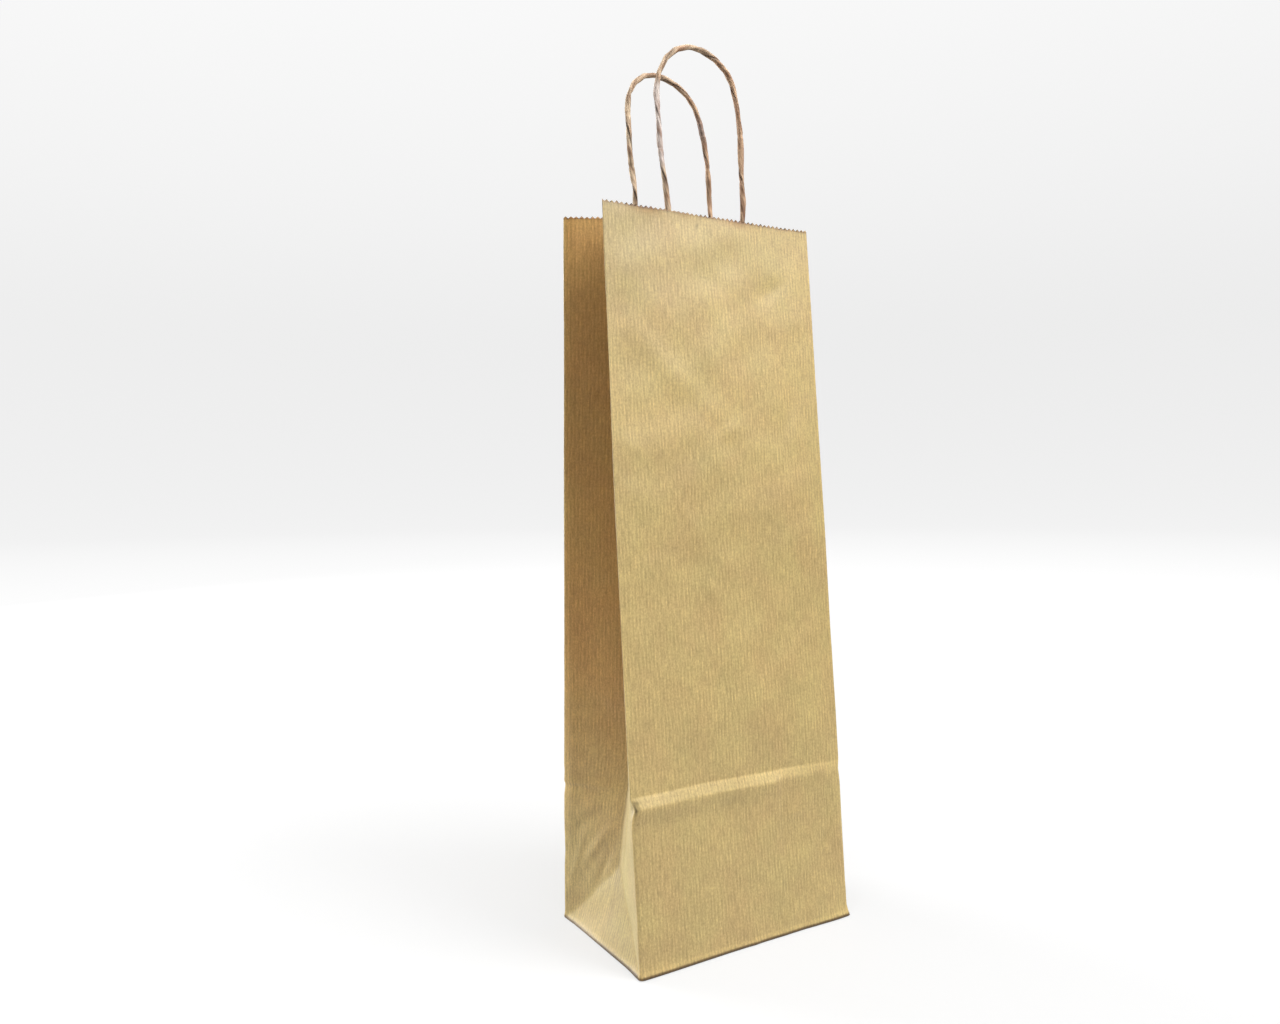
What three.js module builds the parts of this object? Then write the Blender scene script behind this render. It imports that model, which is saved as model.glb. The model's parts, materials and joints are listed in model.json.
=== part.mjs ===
// A kraft paper wine bag standing open: a folded square-bottom bag with side gussets, and two
// twisted paper handles glued between patches inside the mouth.
// Millimetres, +Z up. The origin is the centre of the base rectangle, on the surface it stands on.
// X runs across the front panel, and -Y is the front.
import * as THREE from 'three';

// Driving dimensions
const BAG_WIDTH = 140;
const BAG_DEPTH = 86;
const PANEL_HEIGHT = 400;
const FOLD_HEIGHT = 88; // the shipping fold that runs round the bag, measured up the panel
const FRONT_LEAN = THREE.MathUtils.degToRad(4.8); // the front panel leans back over the base
const BACK_LEAN = THREE.MathUtils.degToRad(1.1);
const PLY = 0.5; // thickness that stands in for one sheet of paper
const GAP = 0.35; // air between neighbouring solids

const CORD_RADIUS = 1.6;
const CORD_SIDES = 10;
const HANDLE_STEPS = 56;
const PATCH_WIDTH = 84;
const PATCH_HEIGHT = 38;
const PATCH_TOP_MARGIN = 9; // from the mouth's edge down to the patch
const STUB_DEPTH = 34; // how far a handle end reaches below the mouth's edge
const HINGE_RISE = 2.6; // the handles bend this far above the mouth's edge

// The mouth fold's travel, which the gusset halves need room for
const MOUTH_OPEN = THREE.MathUtils.degToRad(6);
const MOUTH_CLOSE = THREE.MathUtils.degToRad(3);
const GUSSET_RATIO = 4.1; // how far a gusset half turns for each degree of the mouth fold
const TRAVEL_STEPS = 12; // positions tried along that travel
const HALF_CLEARANCE = 0.7; // from a gusset half to the middle between the panels

const HALF_WIDTH = BAG_WIDTH / 2;
const HALF_DEPTH = BAG_DEPTH / 2;
const PATCH_DEPTH = PLY + GAP; // outer patch ply, measured in from the panel's outer face
const CORD_DEPTH = PATCH_DEPTH + PLY + GAP + CORD_RADIUS;
const INNER_PLY_DEPTH = CORD_DEPTH + CORD_RADIUS + GAP;

const kraft = new THREE.MeshStandardMaterial({ color: '#c8b07b', roughness: 0.78, metalness: 0 });
const gussetKraft = new THREE.MeshStandardMaterial({ color: '#b0905c', roughness: 0.8, metalness: 0 });
const patchKraft = new THREE.MeshStandardMaterial({ color: '#bfa26c', roughness: 0.82, metalness: 0 });
const cordKraft = new THREE.MeshStandardMaterial({ color: '#b3906c', roughness: 0.75, metalness: 0 });

const bag = new THREE.Group();

function addNode(name, geometry, material) {
  const mesh = new THREE.Mesh(geometry, material);
  mesh.name = name;
  bag.add(mesh);
  return mesh;
}

// A closed thin solid between two sheets, each a function of (u, v) from 0 to 1.
function shell(near, far, nu, nv) {
  const positions = [];
  const index = [];
  for (const sheet of [near, far]) {
    for (let j = 0; j <= nv; j++) {
      for (let i = 0; i <= nu; i++) positions.push(...sheet(i / nu, j / nv).toArray());
    }
  }
  const at = (layer, i, j) => layer * (nu + 1) * (nv + 1) + j * (nu + 1) + i;
  const quad = (a, b, c, d) => index.push(a, b, c, a, c, d);
  for (let j = 0; j < nv; j++) {
    for (let i = 0; i < nu; i++) {
      quad(at(0, i, j), at(0, i + 1, j), at(0, i + 1, j + 1), at(0, i, j + 1));
      quad(at(1, i, j), at(1, i, j + 1), at(1, i + 1, j + 1), at(1, i + 1, j));
    }
  }
  for (let i = 0; i < nu; i++) {
    quad(at(0, i, 0), at(1, i, 0), at(1, i + 1, 0), at(0, i + 1, 0));
    quad(at(0, i + 1, nv), at(1, i + 1, nv), at(1, i, nv), at(0, i, nv));
  }
  for (let j = 0; j < nv; j++) {
    quad(at(0, 0, j + 1), at(1, 0, j + 1), at(1, 0, j), at(0, 0, j));
    quad(at(0, nu, j), at(1, nu, j), at(1, nu, j + 1), at(0, nu, j + 1));
  }
  if (signedVolume(positions, index) < 0) {
    for (let t = 0; t < index.length; t += 3) [index[t], index[t + 1]] = [index[t + 1], index[t]];
  }
  const geometry = new THREE.BufferGeometry();
  geometry.setAttribute('position', new THREE.Float32BufferAttribute(positions, 3));
  geometry.setIndex(index);
  return geometry;
}

function signedVolume(positions, index) {
  const [a, b, c] = [new THREE.Vector3(), new THREE.Vector3(), new THREE.Vector3()];
  let sum = 0;
  for (let t = 0; t < index.length; t += 3) {
    a.fromArray(positions, index[t] * 3);
    b.fromArray(positions, index[t + 1] * 3);
    c.fromArray(positions, index[t + 2] * 3);
    sum += a.dot(b.cross(c));
  }
  return sum / 6;
}

// The two panels: a point at x, so far up the panel and so far in from its outer face.
const frontPoint = (x, up, inward) => new THREE.Vector3(
  x,
  -HALF_DEPTH + up * Math.sin(FRONT_LEAN) + inward * Math.cos(FRONT_LEAN),
  up * Math.cos(FRONT_LEAN) - inward * Math.sin(FRONT_LEAN),
);
const backPoint = (x, up, inward) => new THREE.Vector3(
  x,
  HALF_DEPTH - up * Math.sin(BACK_LEAN) - inward * Math.cos(BACK_LEAN),
  up * Math.cos(BACK_LEAN) - inward * Math.sin(BACK_LEAN),
);

// A flat ply on a panel, between two x, two heights and two depths.
function panelPly(panelPoint, [x0, x1], [low, high], inward, thickness = PLY) {
  const sheet = (depth) => (u, v) => panelPoint(
    THREE.MathUtils.lerp(x0, x1, u), THREE.MathUtils.lerp(low, high, v), depth,
  );
  return shell(sheet(inward), sheet(inward + thickness), 1, 1);
}

const FLOOR_CLEARANCE = 0.1; // keeps a leaning panel's inner corner above the floor
const fullWidth = [-HALF_WIDTH, HALF_WIDTH];
const lowerBand = [FLOOR_CLEARANCE, FOLD_HEIGHT - GAP / 2];
const upperBand = [FOLD_HEIGHT + GAP / 2, PANEL_HEIGHT];
addNode('front_lower_panel', panelPly(frontPoint, fullWidth, lowerBand, 0), kraft);
addNode('front_panel', panelPly(frontPoint, fullWidth, upperBand, 0), kraft);
addNode('back_lower_panel', panelPly(backPoint, fullWidth, lowerBand, 0), kraft);
addNode('back_panel', panelPly(backPoint, fullWidth, upperBand, 0), kraft);

// The sheet's two long edges overlap in one glued seam, inside the back panel near its corner.
const SEAM = [52, 63];
const SEAM_PLY = 0.4;
addNode(
  'side_seam_flap',
  panelPly(backPoint, SEAM, [3, PANEL_HEIGHT - 1], PLY + 0.3, SEAM_PLY),
  gussetKraft,
);

// The bottom: two tucked-in side flaps, then the back flap, then the front flap glued outermost.
function bottomPly(outline, level) {
  const shape = new THREE.Shape(outline.map(([x, y]) => new THREE.Vector2(x, y)));
  const geometry = new THREE.ExtrudeGeometry(shape, { depth: PLY, bevelEnabled: false });
  return geometry.translate(0, 0, level);
}
const LEVEL = PLY + GAP;
const flapX = HALF_WIDTH - 1.2;
const flapY = HALF_DEPTH - 1.2;
const FRONT_FLAP_REACH = 12;
const BACK_FLAP_REACH = -14;
const TUCK_REACH = 46;
const TUCK_NARROWING = 20;
addNode('bottom_front_flap', bottomPly([
  [-flapX, -flapY], [flapX, -flapY], [flapX - 14, FRONT_FLAP_REACH], [14 - flapX, FRONT_FLAP_REACH],
], 0), kraft);
addNode('bottom_back_flap', bottomPly([
  [-flapX, flapY], [14 - flapX, BACK_FLAP_REACH], [flapX - 14, BACK_FLAP_REACH], [flapX, flapY],
], LEVEL), kraft);
for (const [side, name] of [[-1, 'bottom_left_tuck'], [1, 'bottom_right_tuck']]) {
  const outer = side * (HALF_WIDTH - 2.2);
  const inner = side * (HALF_WIDTH - TUCK_REACH);
  addNode(name, bottomPly([
    [outer, -flapY + 1], [outer, flapY - 1],
    [inner, flapY - TUCK_NARROWING], [inner, TUCK_NARROWING - flapY],
  ], 2 * LEVEL), gussetKraft);
}

// A side gusset at height z: the panels' edges, and the centre crease, which goes further in as
// the panels come closer, because each half keeps its width of half the bag's depth.
const frontEdgeY = (z) => -HALF_DEPTH + z * Math.tan(FRONT_LEAN);
const backEdgeY = (z) => HALF_DEPTH - z * Math.tan(BACK_LEAN);
const halfGap = (z) => (backEdgeY(z) - frontEdgeY(z)) / 2;
const creaseInset = (z) => Math.sqrt(HALF_DEPTH ** 2 - halfGap(z) ** 2);
const crease = (side, z) => new THREE.Vector3(
  side * (HALF_WIDTH - creaseInset(z)), (frontEdgeY(z) + backEdgeY(z)) / 2, z,
);
const panelEdge = (side, face, z) => new THREE.Vector3(
  side * HALF_WIDTH, face < 0 ? frontEdgeY(z) : backEdgeY(z), z,
);
const APEX_HEIGHT = 42; // top of the triangle that the square base folds into each gusset
// Below the apex the half ends on the 45 degree crease from the base's corner.
function innerCrease(side, face, z) {
  if (z >= APEX_HEIGHT) return crease(side, z);
  return panelEdge(side, face, 0).lerp(crease(side, APEX_HEIGHT), z / APEX_HEIGHT);
}

// One half of a gusset as a thin solid: rows at height zOf(w, v), each from the panel's edge
// inwards. start is the distance left at the panel, and end(z) is how wide the half is there.
function gussetHalf(side, face, zOf, start, end, nu, nv) {
  const sheet = (offset) => (u, v) => {
    const z = zOf(u, v);
    const edge = panelEdge(side, face, z);
    const along = innerCrease(side, face, z).sub(edge);
    const length = along.length();
    along.normalize();
    const w = THREE.MathUtils.lerp(start, Math.min(end(z), length - GAP * 1.5), u);
    const normal = new THREE.Vector3(along.y, -along.x, 0).normalize();
    return edge.addScaledVector(along, w).addScaledVector(normal, offset);
  };
  return shell(sheet(-PLY / 2), sheet(PLY / 2), nu, nv);
}

// How wide an upper half may be at height z, so that the two halves clear each other all the way
// from the closed mouth to the open one.
function clearWidth(z) {
  let width = HALF_DEPTH - 0.7;
  for (let step = 0; step <= TRAVEL_STEPS; step++) {
    const opened = THREE.MathUtils.lerp(-MOUTH_CLOSE, MOUTH_OPEN, step / TRAVEL_STEPS);
    const gap = halfGap(z) + (z - FOLD_HEIGHT) * Math.tan(opened) / 2;
    const angle = Math.asin(halfGap(z) / HALF_DEPTH) + opened * GUSSET_RATIO;
    width = Math.min(width, (gap - HALF_CLEARANCE) / Math.sin(angle));
  }
  return width;
}

const GUSSET_TOP = PANEL_HEIGHT - 2;
const HALF_START = 4.8; // an upper half begins this far from its panel's edge
const LOWER_START = 1.8;
const LOWER_BOTTOM = 7;
// The front halves tip with the front panel, so their lower edge rises towards the centre crease.
const tip = (HALF_DEPTH - HALF_START) * Math.sin(MOUTH_CLOSE);
for (const [side, sideName] of [[-1, 'left'], [1, 'right']]) {
  for (const [face, faceName] of [[-1, 'front'], [1, 'back']]) {
    const bottom = (u) => FOLD_HEIGHT + 1 + (face < 0 ? u * (tip + 0.6) : 0);
    addNode(
      `${sideName}_${faceName}_gusset`,
      gussetHalf(
        side, face, (u, v) => THREE.MathUtils.lerp(bottom(u), GUSSET_TOP, v),
        HALF_START, clearWidth, 3, 16,
      ),
      gussetKraft,
    );
    addNode(
      `${sideName}_${faceName}_lower_gusset`,
      gussetHalf(
        side, face, (u, v) => THREE.MathUtils.lerp(LOWER_BOTTOM, FOLD_HEIGHT - 1, v),
        LOWER_START, () => HALF_DEPTH, 2, 8,
      ),
      gussetKraft,
    );
  }
  // The triangle that stands on the base's side edge and closes the gusset's foot.
  const corners = [
    panelEdge(side, -1, 0), panelEdge(side, 1, 0), crease(side, APEX_HEIGHT),
  ];
  const middle = new THREE.Vector3().add(corners[0]).add(corners[1]).add(corners[2]).divideScalar(3);
  const inset = corners.map((corner) => corner.lerp(middle, 0.075));
  const axisU = inset[1].clone().sub(inset[0]).normalize();
  const axisW = axisU.clone().cross(inset[2].clone().sub(inset[0])).normalize();
  const axisV = axisW.clone().cross(axisU);
  const flat = inset.map((point) => {
    const d = point.clone().sub(inset[0]);
    return new THREE.Vector2(d.dot(axisU), d.dot(axisV));
  });
  const triangle = new THREE.ExtrudeGeometry(
    new THREE.Shape(flat), { depth: PLY, bevelEnabled: false },
  ).translate(0, 0, -PLY / 2);
  triangle.applyMatrix4(new THREE.Matrix4().makeBasis(axisU, axisV, axisW).setPosition(inset[0]));
  addNode(`${sideName}_base_triangle`, triangle, gussetKraft);
}

// Handles. A handle lies in a plane through the mouth's edge, leaning from upright towards +Y.
// Its route is a list of (x, rise above the mouth's edge).
const handles = [
  {
    name: 'front',
    panelPoint: frontPoint,
    lean: THREE.MathUtils.degToRad(5.5),
    middle: -1,
    feet: [-26.5, 25],
    route: [
      [-27, 14], [-28, 28], [-29, 42], [-29.5, 56], [-29, 69], [-26.5, 80], [-21.5, 89], [-14, 95.5],
      [-5, 99], [5, 98.5], [13.5, 95.5], [20, 89.5], [24, 81], [26.5, 69], [27.2, 56], [27, 42],
      [26.5, 28], [25.7, 14],
    ],
  },
  {
    name: 'back',
    panelPoint: backPoint,
    lean: THREE.MathUtils.degToRad(4.5),
    middle: 3,
    feet: [-23.5, 30],
    route: [
      [-23.8, 14], [-24.2, 28], [-25, 42], [-26, 56], [-26, 68], [-24.5, 78], [-20.5, 86.5],
      [-14, 92], [-6, 94.3], [2, 93.8], [10, 91], [17, 86], [22, 80], [26, 71], [28.5, 60],
      [29.5, 48], [30, 32], [30, 16],
    ],
  },
];

function cordBetween(points, steps) {
  const section = new THREE.Shape();
  section.absarc(0, 0, CORD_RADIUS, 0, 2 * Math.PI, false);
  return new THREE.ExtrudeGeometry(section, {
    steps, curveSegments: CORD_SIDES, extrudePath: new THREE.CatmullRomCurve3(points),
  });
}

for (const { name, panelPoint, lean, middle, feet, route } of handles) {
  const patchSpan = [middle - PATCH_WIDTH / 2, middle + PATCH_WIDTH / 2];
  const patchBand = [
    PANEL_HEIGHT - PATCH_TOP_MARGIN - PATCH_HEIGHT, PANEL_HEIGHT - PATCH_TOP_MARGIN,
  ];
  addNode(`${name}_patch_outer`, panelPly(panelPoint, patchSpan, patchBand, PATCH_DEPTH), patchKraft);
  addNode(
    `${name}_patch_inner`, panelPly(panelPoint, patchSpan, patchBand, INNER_PLY_DEPTH), patchKraft,
  );
  // The glued ends run straight down between the two patch plies and don't move.
  for (const [x, end] of [[feet[0], 'left'], [feet[1], 'right']]) {
    const ends = [PANEL_HEIGHT - STUB_DEPTH, PANEL_HEIGHT + HINGE_RISE - GAP].map(
      (up) => panelPoint(x, up, CORD_DEPTH),
    );
    addNode(`${name}_handle_${end}_end`, cordBetween(ends, 1), cordKraft);
  }
  // The loop bends at the hinge line and is clear of the ends when it lies over flat.
  const root = panelPoint(0, PANEL_HEIGHT, CORD_DEPTH);
  const place = ([x, rise]) => new THREE.Vector3(
    x, root.y + rise * Math.sin(lean), root.z + rise * Math.cos(lean),
  );
  const foot = HINGE_RISE + CORD_RADIUS + GAP;
  const points = [[feet[0], foot], ...route, [feet[1], foot]].map(place);
  addNode(`${name}_handle`, cordBetween(points, HANDLE_STEPS), cordKraft);
}

export default bag;
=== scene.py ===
"""A kraft paper wine bag with twisted handles, standing with its mouth half closed.

Everything is in metres, in the frame of the CAD model: X across the front panel, -Y the front,
+Z up, and the origin in the middle of the base on the floor."""

import json

import bpy
import numpy as np
from mathutils import Matrix, Vector


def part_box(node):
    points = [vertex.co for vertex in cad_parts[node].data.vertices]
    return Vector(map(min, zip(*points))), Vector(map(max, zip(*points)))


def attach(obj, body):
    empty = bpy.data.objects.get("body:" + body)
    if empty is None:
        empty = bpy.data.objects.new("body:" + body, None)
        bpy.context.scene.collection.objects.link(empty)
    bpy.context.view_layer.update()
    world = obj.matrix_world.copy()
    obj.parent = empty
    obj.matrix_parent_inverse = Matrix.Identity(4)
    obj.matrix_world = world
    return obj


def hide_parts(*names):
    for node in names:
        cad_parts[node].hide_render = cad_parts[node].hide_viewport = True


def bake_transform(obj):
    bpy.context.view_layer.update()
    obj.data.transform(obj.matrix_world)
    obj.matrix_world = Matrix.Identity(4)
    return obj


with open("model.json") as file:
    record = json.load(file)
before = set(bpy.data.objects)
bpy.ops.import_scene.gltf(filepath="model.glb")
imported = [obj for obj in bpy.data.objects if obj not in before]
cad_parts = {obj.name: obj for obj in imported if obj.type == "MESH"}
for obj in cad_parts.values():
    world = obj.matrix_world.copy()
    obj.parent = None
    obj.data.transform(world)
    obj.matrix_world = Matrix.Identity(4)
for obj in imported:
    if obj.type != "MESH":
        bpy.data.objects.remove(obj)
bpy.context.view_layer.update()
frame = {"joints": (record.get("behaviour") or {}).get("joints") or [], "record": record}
MM = 0.001
rng = np.random.default_rng(14)


# ---------------------------------------------------------------- camera and studio
# The camera stands in front of the bag's left corner, a little above half its height, and looks
# almost level. The studio is a pale painted sweep, closed all round, with three soft boxes: one
# at the front right, one overhead, and one behind on the left that lights the gusset.
CAMERA_TARGET = Vector((-0.04233, 0.0, 0.23479))
CAMERA_DISTANCE = 0.53085
CAMERA_AZIMUTH, CAMERA_ELEVATION, CAMERA_ROLL = np.radians([-31.34, 1.56, -0.46])
CAMERA_LENS = 27.19  # mm, on a sensor 36 mm wide

back = Vector((
    np.sin(CAMERA_AZIMUTH) * np.cos(CAMERA_ELEVATION),
    -np.cos(CAMERA_AZIMUTH) * np.cos(CAMERA_ELEVATION),
    np.sin(CAMERA_ELEVATION),
))
right = Vector((0, 0, 1)).cross(back).normalized()
up = back.cross(right)
turned_right = right * np.cos(CAMERA_ROLL) + up * np.sin(CAMERA_ROLL)
turned_up = up * np.cos(CAMERA_ROLL) - right * np.sin(CAMERA_ROLL)
camera_data = bpy.data.cameras.new("camera")
camera_data.sensor_width = 36
camera_data.lens = CAMERA_LENS
camera = bpy.data.objects.new("camera", camera_data)
camera.matrix_world = (
    Matrix.Translation(CAMERA_TARGET + back * CAMERA_DISTANCE)
    @ Matrix((turned_right, turned_up, back)).transposed().to_4x4()
)
bpy.context.scene.collection.objects.link(camera)
bpy.context.scene.camera = camera
bpy.context.scene.view_settings.view_transform = "Standard"


def linear(hex_colour):
    """An sRGB hex colour as the linear RGBA that a shader takes."""
    srgb = np.array([int(hex_colour[i : i + 2], 16) / 255 for i in (1, 3, 5)])
    value = np.where(srgb <= 0.04045, srgb / 12.92, ((srgb + 0.055) / 1.055) ** 2.4)
    return (*value.tolist(), 1.0)


def add_node(tree, kind, settings=None, inputs=None, links=None):
    """Adds a shader node: settings are its attributes, inputs the values of its sockets by name
    or number, and links the outputs that feed its sockets."""
    made = tree.nodes.new("ShaderNode" + kind)
    for name, value in (settings or {}).items():
        setattr(made, name, value)
    for socket, value in (inputs or {}).items():
        made.inputs[socket].default_value = value
    for socket, output in (links or {}).items():
        tree.links.new(output, made.inputs[socket])
    return made


def new_material(name):
    """An empty material, its node tree and its Principled shader."""
    material = bpy.data.materials.new(name)
    material.use_nodes = True
    return material, material.node_tree, material.node_tree.nodes["Principled BSDF"]


def mesh_piece(name, points, quads, material, uv=None, flat=None, tone=None):
    """A smooth mesh object from points (n, 3) and quads (m, 4), with the corners' uv (m, 4, 2).
    flat is how many of the last quads are shaded flat, such as a sheet's cut edges, and tone
    (n, 3) is a factor on the paper's colour at each point."""
    mesh = bpy.data.meshes.new(name)
    mesh.from_pydata(points.tolist(), [], quads.tolist())
    if uv is not None:
        layer = mesh.uv_layers.new(name="paper")
        layer.data.foreach_set("uv", uv.astype(np.float32).ravel())
    smooth = np.ones(len(quads), bool)
    if flat:
        smooth[-flat:] = False
    mesh.polygons.foreach_set("use_smooth", smooth)
    if tone is not None:
        colours = mesh.attributes.new("tone", "FLOAT_COLOR", "POINT")
        colours.data.foreach_set("color", np.insert(tone, 3, 1, axis=-1).astype(np.float32).ravel())
    mesh.materials.append(material)
    mesh.update()
    piece = bpy.data.objects.new(name, mesh)
    bpy.context.scene.collection.objects.link(piece)
    return piece


# The studio is round: a floor that curves up into a wall and closes overhead. It is one mesh
# near the bag, which throws light back up on it, and another further out, which doesn't.
WALL_DISTANCE, WALL_BEND, NEAR_FLOOR = 8.0, 3.0, 0.6
bend = np.linspace(0, np.pi / 2, 24)
near_profile = np.array([[0.001, 0], [0.3, 0], [NEAR_FLOOR, 0]])
far_profile = np.concatenate([
    [[NEAR_FLOOR, 0], [2.0, 0]],
    np.stack([WALL_DISTANCE - WALL_BEND * (1 - np.sin(bend)), WALL_BEND * (1 - np.cos(bend))], -1),
    np.stack([WALL_DISTANCE * np.cos(bend[1:-1]), WALL_BEND + WALL_DISTANCE * np.sin(bend[1:-1])], -1),
])
white_card, card_tree, card_shader = new_material("white painted studio sweep")
card_shader.inputs["Base Color"].default_value = (0.2, 0.2, 0.2, 1)
card_shader.inputs["Roughness"].default_value = 0.95
card_shader.inputs["Specular IOR Level"].default_value = 0.1
card_shader.inputs["Emission Color"].default_value = (1, 1, 1, 1)
# It glows a little, least round the bag where the lamps light it, and most overhead.
card_place = add_node(card_tree, "TexCoord").outputs["Object"]
distance = add_node(card_tree, "VectorMath", {"operation": "LENGTH"}, links={0: card_place})
reach = add_node(card_tree, "MapRange", inputs={1: 0.0, 2: 10.0}, links={0: distance.outputs["Value"]})
glow = add_node(card_tree, "ValToRGB", links={"Fac": reach.outputs[0]})
glow.color_ramp.interpolation = "EASE"
for place, level in ((0.0, 0.62), (0.22, 0.88), (0.76, 0.8), (0.95, 0.93)):
    stop = glow.color_ramp.elements.new(place)
    stop.color = (level, level, level, 1)
glow.color_ramp.elements.remove(glow.color_ramp.elements[-1])
glow.color_ramp.elements.remove(glow.color_ramp.elements[0])
card_tree.links.new(glow.outputs["Color"], card_shader.inputs["Emission Strength"])


def turned_surface(name, profile, sides, material):
    """A surface of revolution about Z: every (radius, height) of the profile at every side."""
    angle = np.linspace(0, 2 * np.pi, sides, endpoint=False)
    points = np.stack(np.broadcast_arrays(
        profile[:, :1] * np.cos(angle), profile[:, :1] * np.sin(angle), profile[:, 1:]), -1)
    j, i = np.meshgrid(np.arange(len(profile) - 1), np.arange(sides), indexing="ij")
    nxt = (i + 1) % sides
    quads = np.stack([j * sides + i, (j + 1) * sides + i, (j + 1) * sides + nxt, j * sides + nxt], -1)
    return mesh_piece(name, points.reshape(-1, 3), quads.reshape(-1, 4), material)


near_floor = turned_surface("studio_floor", near_profile, 96, white_card)
far_studio = turned_surface("studio_surround", far_profile, 96, white_card)
far_studio.visible_diffuse = far_studio.visible_glossy = False

# Weak light from all round, brightest from above on the right.
world = bpy.data.worlds.new("even studio light")
world.use_nodes = True
sky = world.node_tree.nodes["Background"]
sky.inputs["Color"].default_value = (1, 1, 1, 1)
direction = add_node(world.node_tree, "TexCoord").outputs["Generated"]
towards = add_node(world.node_tree, "VectorMath", {"operation": "DOT_PRODUCT"},
                   {1: (0.5, -0.35, 0.79)}, {0: direction})
brightness = add_node(world.node_tree, "MapRange", inputs={1: -1.0, 2: 1.0, 3: 0.04, 4: 0.3},
                      links={0: towards.outputs["Value"]})
world.node_tree.links.new(brightness.outputs[0], sky.inputs["Strength"])
bpy.context.scene.world = world


def area_light(name, place, aim, size, power):
    """A square soft light at a place, aimed at a point."""
    data = bpy.data.lights.new(name, "AREA")
    data.size, data.energy = size, power
    lamp = bpy.data.objects.new(name, data)
    lamp.location = place
    lamp.rotation_euler = (Vector(place) - Vector(aim)).to_track_quat("Z", "Y").to_euler()
    bpy.context.scene.collection.objects.link(lamp)


area_light("soft_box_right", (0.75, -1.1, 1.5), (0, 0, 0.2), 1.0, 38)
area_light("soft_box_top", (-0.2, -0.35, 2.1), (0, 0, 0.2), 1.4, 39)
area_light("soft_box_left", (-0.9, 1.6, 0.6), (0, 0, 0.15), 1.0, 50)


# ---------------------------------------------------------------- the kraft sheet
# One sheet of brown kraft, about 90 g/m2, glazed and pressed with fine upright ribs. It is glued
# into a tube, creased along the panels' edges and down the middle of each gusset, and folded
# once round at the shipping fold. The mouth is cut with a saw-toothed blade.
mounts = {mount["name"]: mount for mount in frame["record"]["mounts"]}
joints = {joint["name"]: joint for joint in frame["joints"]}


def panel_of(mount):
    """(y at the floor, slope of y with height) of a panel, from the mount on its outer face."""
    place, normal = mount["pos_m"], mount["axis"]
    slope = -normal[2] / normal[1]
    return place[1] - place[2] * slope, slope


FRONT_Y, FRONT_SLOPE = panel_of(mounts["front_label_face"])
BACK_Y, BACK_SLOPE = panel_of(mounts["back_label_face"])
FRONT_COS, BACK_COS = np.cos(np.arctan([FRONT_SLOPE, BACK_SLOPE]))
HALF_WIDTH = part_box("front_panel")[1].x
WIDTH = 2 * HALF_WIDTH
DEPTH = BACK_Y - FRONT_Y
HALF_DEPTH = DEPTH / 2
PANEL_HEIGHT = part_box("back_panel")[1].z / BACK_COS
FOLD_HEIGHT = joints["mouth_fold"]["pos_m"][2] / FRONT_COS
APEX_HEIGHT = 42 * MM  # top of the triangle that the square base folds into each gusset
BASE_LEVEL = 0.3 * MM  # the sheet's underside, above the outermost bottom flap
GIRTH = 2 * (WIDTH + DEPTH)
TOOTH_PITCH = GIRTH / 150  # about 3 mm
TOOTH_HEIGHT = 1.7 * MM
SHEET_THICKNESS = 0.2 * MM
# Distances round the sheet from the front left edge, going right.
FRONT_RIGHT, BACK_RIGHT, BACK_LEFT = WIDTH, WIDTH + DEPTH, 2 * WIDTH + DEPTH


def bump(x, centre, width):
    """A smooth hill of height 1."""
    return np.exp(-(((x - centre) / width) ** 2))


def ramp(x, low, high):
    """0 below low, 1 above high, and straight between."""
    return np.clip((x - low) / (high - low), 0, 1)


def soft_ramp(x, low, high):
    """0 below low, 1 above high, and a smooth rise between."""
    t = ramp(x, low, high)
    return t * t * (3 - 2 * t)


def crease_inset(v):
    """How far in the gusset's centre crease lies at height v: each half keeps its width while
    the panels come closer, and it is pressed in a little more just above the base."""
    half_gap = (DEPTH - v * (FRONT_SLOPE - BACK_SLOPE)) / 2
    return np.sqrt(np.maximum(HALF_DEPTH**2 - half_gap**2, 0)) + 3 * MM * bump(v, 100 * MM, 36 * MM)


def edge_shift(v, heights, amounts):
    """Sideways wander of a panel's edge in metres, from heights and amounts in mm."""
    return np.interp(v / MM, heights, amounts) * MM


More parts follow.
